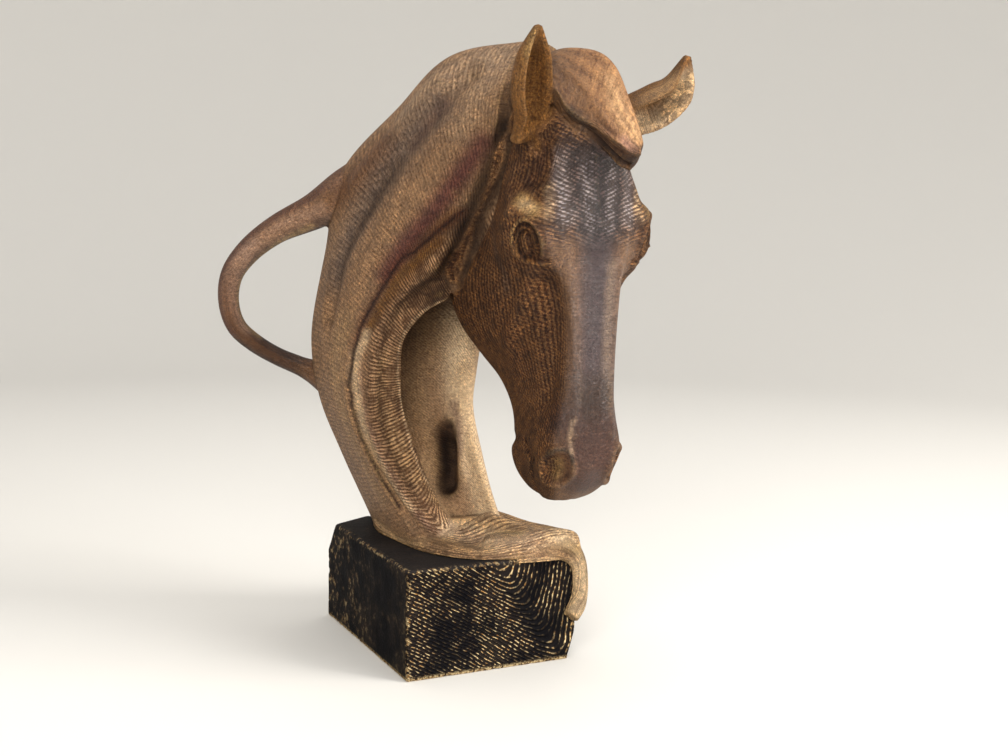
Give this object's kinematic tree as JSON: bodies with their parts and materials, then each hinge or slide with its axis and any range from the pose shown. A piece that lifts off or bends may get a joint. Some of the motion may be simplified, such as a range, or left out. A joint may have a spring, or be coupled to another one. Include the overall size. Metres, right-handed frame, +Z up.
{
  "type": "driftwood horse head sculpture",
  "caption": "Horse head bust carved as driftwood: the hollow, curling neck rises from a hewn block, and a thin branch loops out of its back.",
  "frame": {"origin": "on the plinth's underside, at the middle of its length and 2 mm to the left of the middle of its width", "axes": "+Z up; -Y the way the horse and the plinth's grained end face; +X towards the lip that hangs over the plinth"},
  "size_m": [0.1728, 0.182, 0.2897],
  "materials": {
    "driftwood": "cast resin painted as driftwood in layered browns with a mauve patina, satin, fine raised grain",
    "plinth": "cast resin painted black, satin, with gold dry-brushed over the raised end grain"
  },
  "bodies": {
    "root": {"horse_head": "driftwood", "plinth_block": "plinth"}
  },
  "joints": []
}
